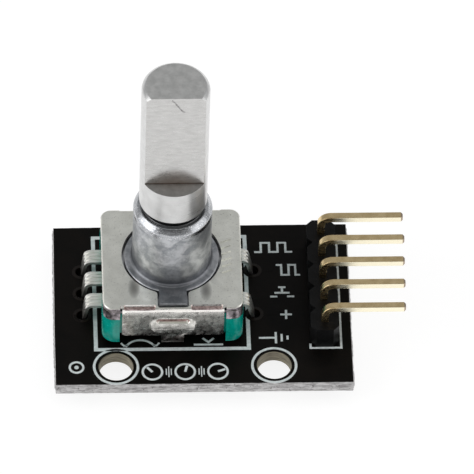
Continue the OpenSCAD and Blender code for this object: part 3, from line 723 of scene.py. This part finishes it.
def make_print():
    hi = box_mm("silkscreen")[1]
    strip_lo = box_mm("header_strip")[0]
    x, y = 6.78, 6.45
    outline = drawn([(-x, -y), (x, -y), (x, y), (-x, y)], 0.35, True)
    # the outline stops short of the right-hand pads
    round_pads = [lathe([(0.86, -1), (0.86, 1)], p, 40) for p in ENCODER_LEADS[3:]]
    lines = [cut(outline, together(*round_pads))]
    lines += [drawn(circle_of(*h, RING_R - RING_LINE / 2), RING_LINE, True) for h in HOLES]
    left, right, front = strip_lo.x + 0.02, hi.x - 0.1, -6.5
    lines.append(drawn([(left, front + 0.5), (left, front), (right, front), (right, 6.4)]))
    # square waves for the two turning signals
    lines.append(drawn([(7.6, 4.62), (8.2, 4.62), (8.2, 5.68), (8.95, 5.68), (8.95, 4.62),
                        (9.7, 4.62), (9.7, 5.68), (10.4, 5.68), (10.4, 4.62), (11.0, 4.62)]))
    lines.append(drawn([(9.48, 3.1), (9.95, 3.1), (9.95, 1.95), (10.6, 1.95), (10.6, 3.1),
                        (11.2, 3.1), (11.2, 1.95), (11.62, 1.95)]))
    # push switch
    lines += [drawn([(8.86, -0.55), (9.5, -0.55)]), drawn([(10.36, -0.55), (11.0, -0.55)]),
              drawn([(9.25, -0.12), (10.6, -0.12)]), drawn([(9.93, -0.02), (9.93, 0.42)]),
              drawn([(9.6, 0.52), (10.26, 0.52)])]
    # plus
    px, py, arm = 10.2, -2.62, 0.52
    lines += [drawn([(px - arm, py), (px + arm, py)]),
              drawn([(px, py + PEN / 2), (px, py + arm)]),
              drawn([(px, py - PEN / 2), (px, py - arm)])]
    # earth
    lines += [drawn([(7.7, -5.28), (9.1, -5.28)]), drawn([(9.2, -5.92), (9.2, -4.64)]),
              drawn([(9.72, -5.7), (9.72, -4.86)]), drawn([(10.24, -5.5), (10.24, -5.06)])]
    # three dials with ticks between them
    for cx, angle in ((-1.85, 130), (1.05, 75), (3.95, 20)):
        lines.append(drawn(circle_of(cx, DIALS_Y, 0.86, 40), PEN, True))
        tip = Vector((math.cos(math.radians(angle)), math.sin(math.radians(angle))))
        lines.append(drawn([(cx, DIALS_Y), (cx + 0.7 * tip.x, DIALS_Y + 0.7 * tip.y)], 0.22))
    for cx in (-0.62, 2.28):
        for k, h in enumerate((0.35, 0.6, 0.35)):
            lines.append(drawn([(cx + k * 0.22, DIALS_Y - h), (cx + k * 0.22, DIALS_Y + h)], 0.1))
    # locating mark at the left
    lines += [drawn(circle_of(-8.55, -8.45, 0.6, 32), PEN, True), disc_mark(-8.55, -8.45, 0.2)]
    # turning and pushing arrows in front of the housing
    lines.append(drawn(arc(-2.85, -6.9, 1.5, 150, 30, 12)))
    lines += [drawn([(-4.55, -5.72), (-4.3, -6.02), (-3.93, -5.98)], 0.16),
              drawn([(-1.15, -5.72), (-1.4, -6.02), (-1.77, -5.98)], 0.16)]
    lines += [drawn([(1.9, -5.98), (4.5, -5.98)]), drawn([(2.7, -5.25), (3.2, -5.7), (3.7, -5.25)])]
    piece(together(*lines), "print", "module", ["ink"], ["silkscreen"])


def make_eyelets():
    for name, spots in (("encoder_eyelets", ENCODER_LEADS), ("header_eyelets", HEADER_LEADS)):
        t, under = PLATING, -THICK
        shape = [(0.51, under - t), (0.77, under - t), (PAD_R, under - t / 2), (PAD_R, under),
                 (LEAD_HOLE_R, under), (LEAD_HOLE_R, 0), (PAD_R, 0), (PAD_R, t / 2), (0.77, t),
                 (0.53, t), (0.51, t / 2)]
        rings = together(*[lathe(shape, spot, 48, True) for spot in spots])

        def pick(centre, normal, spots=spots):
            r = min(math.hypot(centre.x - x, centre.y - y) for x, y in spots)
            return 1 if r > 0.775 or r < 0.56 else 0
        piece(rings, name + "_pads", "module", ["mask", "mask_edge"], [name],
              pick=pick)


def make_traces():
    """Copper tracks under the mask: low ridges on both faces."""
    h = 0.012
    tracks = []
    for (ax, ay), (bx, by), bend in ((ENCODER_LEADS[3], HEADER_LEADS[0], 9.0),
                                     (ENCODER_LEADS[4], HEADER_LEADS[2], 9.4)):
        path = [(ax + 1.0, ay), (bend, ay), (bend + abs(by - ay) * 0.6, by), (bx - 1.4, by)]
        tracks.append(ribbon(path, 0.3, 0.0, h))
    piece(together(*tracks), "tracks_top", "module", ["mask"])
    under = []
    for k, (x, y) in enumerate(HEADER_LEADS):
        end = 11.4 - 0.35 * k
        under.append(ribbon([(x - 0.98, y), (end, y), (end - 1.2, y - 0.9)], 0.35,
                            -THICK - h, -THICK))
    for k, (x, y) in enumerate(ENCODER_LEADS[:3]):
        under.append(ribbon([(x + 0.98, y), (x + 2.2 + k, y), (x + 3.4 + k, y - 1.1),
                             (x + 6.5 + k, y - 1.1)], 0.35, -THICK - h, -THICK))
    piece(together(*under), "tracks_under", "module", ["mask"])


# ---------------------------------------------------------------- encoder housing
COVER_LO, COVER_HI = box_mm("cover")
COVER_TOP = COVER_HI.z
SHEET = 0.35
FRONT, BACK, SIDE = 6.2, 5.4, 6.2
SKIRT_X = 4.5
LIP_Z, SKIRT_Z = 3.75, 1.65
# the two burnished grooves beside the key: middle along Y and half width
GROOVE_Y, GROOVE_W = -FRONT + 0.29, 0.23


def shell(inset, low, high, round_top, corner):
    """Block with round corners and a rounded top edge."""
    rows = [(low, 0.0)]
    for k in range(7):
        a = math.radians(90 * k / 6)
        rows.append((high - round_top + round_top * math.sin(a), round_top * (1 - math.cos(a))))
    rings = []
    for z, d in rows:
        e = inset + d
        r = max(corner - e, 0.12)
        rings.append([(x, y, z) for x, y in round_rect(-SIDE + e, -FRONT + 0.07 + e, SIDE - e,
                                                       BACK - 0.05 - e, r, 10)])
    return loft(rings)


# the pressed oval in each skirt and the hollow in it: middle height, half length, half height
OVAL = (3.0, 2.12, 0.97)
HOLLOW = (3.61, 1.42, 0.23)


def oval_depth(x, z, cz, half_l, half_h):
    """How far a point lies inside an oval with round ends; negative outside."""
    return half_h - math.hypot(max(abs(x) - (half_l - half_h), 0.0), z - cz)


def pressed(inside, hollow, z):
    """How far the skirt stands out at a point of its pressed louvre."""
    lean = math.sin(math.pi / 2 * min(max((3.6 - z) / 1.15, 0.0), 1.0))
    rise = smooth(inside / 0.2) * (0.07 + 0.16 * lean)
    return rise - (rise + 0.16) * smooth((hollow + 0.06) / 0.12)


def skirt(face_y):
    """Bent sheet from the top plate down the front or back, with its pressed oval."""
    sign = -1 if face_y < 0 else 1
    bend = 0.42
    profile = [(face_y - sign * 0.95, COVER_TOP, 0), (face_y - sign * 0.7, COVER_TOP, 0)]
    for k in range(9):
        a = math.radians(90 * k / 8)
        profile.append((face_y - sign * bend * (1 - math.sin(a)),
                        COVER_TOP - bend * (1 - math.cos(a)), k / 8))
    top = COVER_TOP - bend
    steps = 72
    profile += [(face_y, top + (SKIRT_Z - top) * k / steps, 1) for k in range(1, steps + 1)]
    count = 84
    outer, inner = [], []
    for y, z, facing in profile:
        row_out, row_in = [], []
        for i in range(count + 1):
            x = -SKIRT_X + 2 * SKIRT_X * i / count
            # a pressed louvre: its wall leans outwards to the lower edge and is hollow at the top
            rise = 0.0
            if facing == 1:
                rise = pressed(oval_depth(x, z, *OVAL), oval_depth(x, z, *HOLLOW), z)
            rise += 0.012 * wobble(x, z, 0.0, 1.1) * facing
            end_curl = 0.08 * smooth((abs(x) - 4.1) / 0.4) * smooth((3.4 - z) / 1.5)
            row_out.append((x, y + sign * (rise - end_curl), z))
            row_in.append((x, y - sign * SHEET * facing, z - SHEET * (1 - facing)))
        outer.append(row_out)
        inner.append(row_in)
    sheet = loft([a + b[::-1] for a, b in zip(outer, inner)])
    fold = COVER_LO.z + 0.15
    path = [(face_y - sign * 0.15, SKIRT_Z + 0.15), (face_y - sign * 0.15, fold + 0.4)]
    path += [(face_y - sign * (0.15 + 0.4 * (1 - math.cos(math.radians(a)))),
              fold + 0.4 - 0.4 * math.sin(math.radians(a))) for a in range(15, 91, 15)]
    path.append((face_y - sign * 1.9, fold))
    tab = sweep(path, [(-1, -0.145), (1, -0.145), (1, 0.145), (-1, 0.145)], "yz")
    return sheet, tab


def key_outline(r, half, end, corner):
    """Round opening with a key towards -Y."""
    start = math.degrees(math.asin(half / r))
    ring = arc(0, 0, r, -90 + start + 2.2, 270 - start - 2.2, 110)
    left = arc(-half + corner, end + corner, corner, 180, 270, 4)
    right = arc(half - corner, end + corner, corner, 270, 360, 4)
    root = -math.sqrt(r * r - half * half) - 0.12
    return ring + [(-half, root)] + left + right + [(half, root)]


def make_cover():
    cover = shell(0.0, LIP_Z, COVER_TOP, 0.2, 0.9)
    cut(cover, shell(SHEET, LIP_Z - 1, COVER_TOP - SHEET, 0.12, 0.9))
    slits = [block((s * 4.6 - 0.1, y0, 1), (s * 4.6 + 0.1, y1, z1))
             for s in (-1, 1) for y0, y1, z1 in ((-7, -FRONT + 0.45, COVER_TOP + 1),
                                                 (BACK - 0.5, 7, COVER_TOP - 0.4))]
    faces = [block((-SKIRT_X, -7, 1), (SKIRT_X, -FRONT + 0.6, COVER_TOP + 1)),
             block((-SKIRT_X, BACK - 0.6, 1), (SKIRT_X, 7, COVER_TOP + 1))]
    cut(cover, together(*slits), together(*faces))
    sheet_front, tab_front = skirt(-FRONT)
    sheet_back, tab_back = skirt(BACK)
    unite(cover, sheet_front, tab_front, sheet_back, tab_back)
    opening = prism(key_outline(4.44, 1.38, -5.97, 0.22), 4, 7)
    bars = [prism(round_rect(a, GROOVE_Y - GROOVE_W, b, GROOVE_Y + GROOVE_W, 0.12, 5),
                  COVER_TOP - 0.26, 6)
            for a, b in ((-4.37, -1.58), (1.58, 4.37))]
    # seam between the top plate's corners and the lips folded under them
    seam = cut(shell(-0.3, COVER_TOP - 0.44, COVER_TOP - 0.36, 0.01, 0.9),
               shell(0.2, COVER_TOP - 1, COVER_TOP, 0.01, 0.9))
    seam = combine(seam, "INTERSECT", together(*[
        block((s * 5.6 - 0.85, -7, 3), (s * 5.6 + 0.85, -5.3, 6)) for s in (-1, 1)]))
    cut(cover, opening, together(*bars), seam)
    # a plain hatched field is pressed up beside the opening
    marks = [prism([(4.4, y - 0.1), (5.3, y + 0.28), (5.3, y + 0.48), (4.4, y + 0.1)],
                   COVER_TOP - 0.1, COVER_TOP + 0.08)
             for y in (-2.0, -1.3, -0.6, 0.1, 0.8, 1.5)]
    unite(cover, together(*marks))

    def pick(centre, normal):
        in_bar = 1.67 < abs(centre.x) < 4.34 and abs(centre.y - GROOVE_Y) < GROOVE_W + 0.002
        if in_bar and centre.z < COVER_TOP - 0.2:
            return 2
        if abs(normal.z) < 0.75 and centre.z < COVER_TOP - 0.1:
            hollow = abs(centre.y + 0.4) > 5.5 and oval_depth(centre.x, centre.z, *HOLLOW) > -0.03
            lip = abs(centre.x) > 4.68 and abs(centre.y + 0.4) > 4.9
            return 4 if hollow else 3 if lip else 1
        return 0
    piece(cover, "cover_sheet", "module",
          ["tin_plate", "tin_skirt", "groove", "lip", "hollow"], ["cover"], bevel=0.03, pick=pick)


def make_bushing():
    lo, hi = box_mm("bushing")
    rim, low = hi.z, lo.z
    flange = COVER_TOP - 0.03
    r, bore, fillet = 3.5, 2.55, 0.3
    profile = [(bore, low), (4.22, low), (4.22, flange - 0.08), (4.16, flange - 0.02),
               (4.07, flange), (r + fillet, flange)]
    profile += [(r + fillet * (1 - math.sin(math.radians(a))),
                 flange + fillet * (1 - math.cos(math.radians(a)))) for a in range(15, 91, 15)]
    profile += [(r, rim - 0.62), (r - 0.03, rim - 0.52), (r - 0.09, rim - 0.43),
                (r - 0.33, rim - 0.14), (r - 0.42, rim - 0.05), (r - 0.53, rim), (2.8, rim),
                (2.66, rim - 0.03), (bore, rim - 0.14)]
    barrel = lathe(profile, n=128, around=True)
    plate = prism(round_rect(-5.55, -FRONT + 0.45, 5.55, BACK - 0.45, 0.5), low, low + 0.3)
    key_section = [(-2.6, low + 0.01), (-5.63, low + 0.01), (-5.63, flange - 0.2),
                   (-5.6, flange - 0.12), (-5.54, flange - 0.04), (-5.44, flange), (-2.6, flange)]
    key = sweep([(-1.22, 0), (1.22, 0)], key_section)
    unite(barrel, cut(plate, lathe([(3.2, low - 1), (3.2, rim)], n=64)), key)
    piece(barrel, "bushing_body", "module", ["zinc"], ["bushing"], bevel=0.025)


SHAFT_R, NECK_R, SHOULDER_Z = 3.0, 2.5, 13.1
FLAT_Z, FLAT_Y = 16.8, 1.5
# the clip's groove, and the drive section under it
GROOVE_LOW, GROOVE_HIGH, DRIVE_R = 3.82, 4.12, 1.8


def make_shaft():
    lo, hi = box_mm("shaft")
    end, tip, r = lo.z, hi.z, SHAFT_R
    profile = [(1.68, end), (DRIVE_R, end + 0.12), (DRIVE_R, GROOVE_LOW), (1.5, GROOVE_LOW),
               (1.5, GROOVE_HIGH), (NECK_R, GROOVE_HIGH), (NECK_R, SHOULDER_Z),
               (2.86, SHOULDER_Z), (2.95, 13.13), (r, 13.22), (r, tip - 0.5)]
    profile += [(r - 0.03, tip - 0.38), (r - 0.11, tip - 0.26), (r - 0.3, tip - 0.08),
                (r - 0.40, tip - 0.02), (r - 0.5, tip)]
    shaft = lathe(profile, n=128)
    cut(shaft, block((-5, -5, FLAT_Z), (5, -FLAT_Y, 40)))
    for s in (-1, 1):
        a, b = sorted((s * 1.3, s * 3))
        cut(shaft, block((a, -3, end - 1), (b, 3, GROOVE_LOW)))
    # a dimple in the end face, and a scratch in the flat
    mark = lathe([(0.03, tip - 0.02), (0.3, tip + 0.02)], n=32)
    scratch = ribbon([(-0.38, 0), (-0.1, -0.35), (0.25, -0.95), (0.6, -1.5), (0.8, -1.55)],
                     0.13, -1, 1, rough=0.025)
    on_flat = ((1, 0, 0, 0), (0, 0, -0.035, -FLAT_Y), (0, 1, 0, 28.0), (0, 0, 0, 1))
    scratch.data.transform(Matrix(on_flat))
    cut(shaft, mark, scratch)

    def pick(centre, normal):
        above = centre.z > FLAT_Z - 0.1
        if above and centre.z < tip - 0.02 and -1.498 < centre.y < -1.4 and abs(centre.x) < 1:
            return 3
        if above and normal.y < -0.9 and -1.6 < centre.y < -1.4:
            return 1
        return 2 if normal.z > 0.9 and centre.z > 16 else 0
    piece(shaft, "shaft_bar", "shaft", ["turned", "flat", "sawn", "edge"],
          ["shaft"], bevel=0.035, pick=pick)


# ---------------------------------------------------------------- terminals, header, solder
TERM_TOP, TERM_T, BEND = 2.22, 0.3, 0.7
# how far the left and right legs slope outwards
SPLAY = {-1: 0.2, 1: 0.35}


def ribbed(half, ribs):
    """Section of a terminal strip with grooves along its outer face."""
    top = [(-half, TERM_T)]
    for c in ribs:
        top += [(c - 0.1, TERM_T), (c - 0.04, TERM_T - 0.1), (c + 0.04, TERM_T - 0.1),
                (c + 0.1, TERM_T)]
    return [(half, 0.0), (-half, 0.0)] + top + [(half, TERM_T)]


def terminal(side, face, y, low):
    """Arm, bend and leg of one terminal. side is -1 at the left and 1 at the right."""
    inner = face - TERM_T
    splay = SPLAY[side]
    centre_x, centre_z, r = face - splay - BEND, TERM_TOP - BEND, BEND - TERM_T
    path = [(5.8, TERM_TOP - TERM_T), (centre_x - 0.2, TERM_TOP - TERM_T)]
    path += arc(centre_x, centre_z, r, 90, 10, 10)
    path.append((inner - splay * 0.35, 0.62))
    legs = len(path)
    path += [(inner - 0.04, 0.3), (inner, 0.1), (inner, -0.05), (inner, -1.0), (inner, low + 0.25),
             (inner, low)]

    def section(i):
        k = i - legs
        scale = {-1: 0.9, 0: 0.7, 1: 0.53, 2: 0.48, 3: 0.48, 4: 0.48, 5: 0.36}.get(k, 1.0)
        thin = 0.55 if k == 5 else 1.0
        ribs = ribbed(0.72, (-0.4, 0.0, 0.4))
        return [(a * scale, TERM_T / 2 + (b - TERM_T / 2) * thin) for a, b in ribs]
    bar = sweep(path, section, "xz", y)
    if side < 0:
        bar.data.transform(Matrix.Scale(-1, 4, (1, 0, 0)))
        bar.data.flip_normals()
    return bar


def make_terminals():
    left = [("contact_a", 2.5), ("contact_common", 0.0), ("contact_b", -2.5)]
    right = [("switch_contact_ring", 2.5), ("switch_contact_centre", -2.5)]
    for side, group in ((-1, left), (1, right)):
        for node, y in group:
            lo, hi = box_mm(node)
            face = -lo.x if side < 0 else hi.x
            inside = keep_side(cad_copy(node), side * 5.9, -side)
            unite(inside, terminal(side, face, y, lo.z))
            piece(inside, node + "_strip", "module", ["terminal"], [node],
                  bevel=0.02, segments=1)


def make_header():
    lo, hi = box_mm("header_strip")
    half, notch = 1.27, 0.52
    c = half - notch
    # neighbouring cells overlap a little, so that they join
    overlap = 1.004
    outline = [(-half, -c), (-c, -half), (c, -half), (half, -c),
               (half, c), (c, half), (-c, half), (-half, c)]
    cells = [prism([(x + px, y + py * overlap) for px, py in outline], lo.z, hi.z)
             for x, y in HEADER_LEADS]
    strip = cells[0]
    for other in cells[1:]:
        unite(strip, other)
    slot = 0.33
    slots = [block((x - slot, y - slot, lo.z - 1), (x + slot, y + slot, hi.z + 1))
             for x, y in HEADER_LEADS]
    cut(strip, together(*slots))
    piece(strip, "header_housing", "module", ["strip"], ["header_strip"],
          bevel=0.07, segments=3)
    pin_lo, pin_hi = box_mm("header_pin_1")
    w, r = 0.32, 1.2 - 0.32
    foot = pin_lo.z
    square = round_rect(-w, -w, w, w, 0.07, 3)
    for k, (x, y) in enumerate(HEADER_LEADS):
        # no two pins are bent or cut quite alike
        top = pin_hi.z - (0.02, 0.05, 0.05, 0.10, 0.28)[k]
        reach = pin_hi.x - (0.04, 0, 0.07, 0.11, 0.17)[k]
        path = [(x, foot), (x, foot + 0.12), (x, foot + 0.5), (x, 2.0), (x, top - w - r)]
        path += arc(x + r, top - w - r, r, 180, 90, 12)[1:]
        path += [(x + 2.6, top - w), (x + 5.0, top - w), (reach - 0.5, top - w),
                 (reach - 0.16, top - w), (reach, top - w)]
        last = len(path) - 1

        def section(i, last=last):
            scale = 0.62 if i in (0, last) else 1.0
            return [(a * scale, b * scale) for a, b in square]
        pin = sweep(path, section, "xz", y)

        def pick(centre, normal, reach=reach):
            return 1 if centre.x > reach - 0.18 or centre.z < foot + 0.02 else 0
        piece(pin, f"pin_{k + 1}", "module", ["gold", "cut"],
              [f"header_pin_{k + 1}"], pick=pick)


def make_solder():
    under = -THICK - PLATING
    base, neck = 0.74, 0.46
    for group, spots in (("encoder_solder_", ENCODER_LEADS), ("header_solder_", HEADER_LEADS)):
        for i, (x, y) in enumerate(spots):
            drop = 1.0 + 0.1 * wobble(x, y)
            profile = [(0.44, -0.85), (0.5, -0.95), (0.5, under - 0.01), (base, under)]
            for k in range(1, 9):
                t = k / 8
                profile.append((base - (base - neck) * (1 - (1 - t) ** 2.4),
                                under - drop * t ** 1.3))
            joint = lathe(profile, (x, y), 40)
            node = f"{group}{i + 1}"
            piece(joint, node + "_fillet", "module", ["solder"], [node])


def make_base():
    piece(cad_copy("encoder_base"), "base_moulding", "module", ["green"],
          ["encoder_base"], bevel=0.09, segments=3)


def make_chips():
    for i in (1, 2):
        piece(cad_copy(f"pull_up_body_{i}"), f"chip_body_{i}", "module", ["chip_body"],
              [f"pull_up_body_{i}"], bevel=0.03)
        piece(cad_copy(f"pull_up_caps_{i}"), f"chip_ends_{i}", "module", ["chip_cap"],
              [f"pull_up_caps_{i}"], bevel=0.05)


def make_dome():
    """The snap dome, which the plunger presses against its base; it keeps its CAD shape."""
    dome = piece(cad_copy("snap_dome"), "snap_dome_sheet", "module", ["spring"],
                 ["snap_dome"])
    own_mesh(dome)


make_board()
make_print()
make_eyelets()
make_traces()
make_cover()
make_bushing()
make_shaft()
make_terminals()
make_header()
make_solder()
make_base()
make_chips()
make_dome()

# the parts inside the housing keep their CAD shapes
for name, key in (("switch_base", "green"), ("plunger", "plunger"),
                  ("detent_spring", "spring"), ("rotor", "rotor"), ("contact_disc", "brass"),
                  ("retaining_clip", "clip")):
    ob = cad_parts[name]
    for held in ob.material_slots:
        held.material = MAT[key]


# ---------------------------------------------------------------- floor and light
def make_floor():
    z = cad_box[0].z - 0.00003
    bm = bmesh.new()
    bmesh.ops.create_grid(bm, x_segments=8, y_segments=8, size=3.0)
    mesh = bpy.data.meshes.new("floor")
    bm.to_mesh(mesh)
    bm.free()
    floor = bpy.data.objects.new("floor", mesh)
    floor.location = (0, 0, z)
    scene.collection.objects.link(floor)
    s = Shader("light_table", 0.9, 0.0, 0.1)
    s.colour(s.mix(s.noise(0.02, 2), (0.24, 0.24, 0.24), (0.26, 0.26, 0.26)))
    s.bsdf.inputs["Emission Color"].default_value = (1, 1, 1, 1)
    s.bsdf.inputs["Emission Strength"].default_value = 0.865
    mesh.materials.append(s.mat)


def area_light(name, place, size, power):
    data = bpy.data.lights.new(name, "AREA")
    data.shape = "RECTANGLE"
    data.size, data.size_y = size
    data.energy = power
    lamp = bpy.data.objects.new(name, data)
    place = Vector(place)
    lamp.location = place
    lamp.rotation_euler = (Vector((0, 0.005, 0.008)) - place).to_track_quat("-Z", "Y").to_euler()
    scene.collection.objects.link(lamp)


def studio():
    """Soft surroundings: grey above and behind, a dark patch where the viewer stands, and a
    bright horizon in front."""
    world = bpy.data.worlds.new("studio")
    world.use_nodes = True
    tree = world.node_tree
    coord = tree.nodes.new("ShaderNodeTexCoord")
    split = tree.nodes.new("ShaderNodeSeparateXYZ")
    tree.links.new(coord.outputs["Generated"], split.inputs[0])
    front = tree.nodes.new("ShaderNodeMapRange")
    tree.links.new(split.outputs["Y"], front.inputs["Value"])
    for key, v in zip(("From Min", "From Max", "To Min", "To Max"), (-0.15, -0.45, 0, 1)):
        front.inputs[key].default_value = v
    bands = tree.nodes.new("ShaderNodeValToRGB")
    tree.links.new(split.outputs["Z"], bands.inputs[0])
    stops = ((0.0, 0.9), (0.3, 0.85), (0.5, 0.12), (0.82, 0.12), (0.97, 0.44))
    ramp = bands.color_ramp.elements
    while len(ramp) < len(stops):
        ramp.new(0.5)
    for stop, (place, grey) in zip(ramp, stops):
        stop.position, stop.color = place, (grey, grey, grey, 1)
    blend = tree.nodes.new("ShaderNodeMix")
    blend.data_type = "RGBA"
    tree.links.new(front.outputs[0], blend.inputs["Factor"])
    blend.inputs[6].default_value = (0.44, 0.445, 0.45, 1)
    tree.links.new(bands.outputs[0], blend.inputs[7])
    tree.links.new(blend.outputs[2], tree.nodes["Background"].inputs["Color"])
    scene.world = world


make_floor()
area_light("soft_left", (-0.60, -0.16, 0.32), (0.6, 0.6), 2.0)
area_light("soft_right", (0.60, -0.16, 0.32), (0.6, 0.6), 1.1)
studio()
scene.view_settings.view_transform = "Standard"
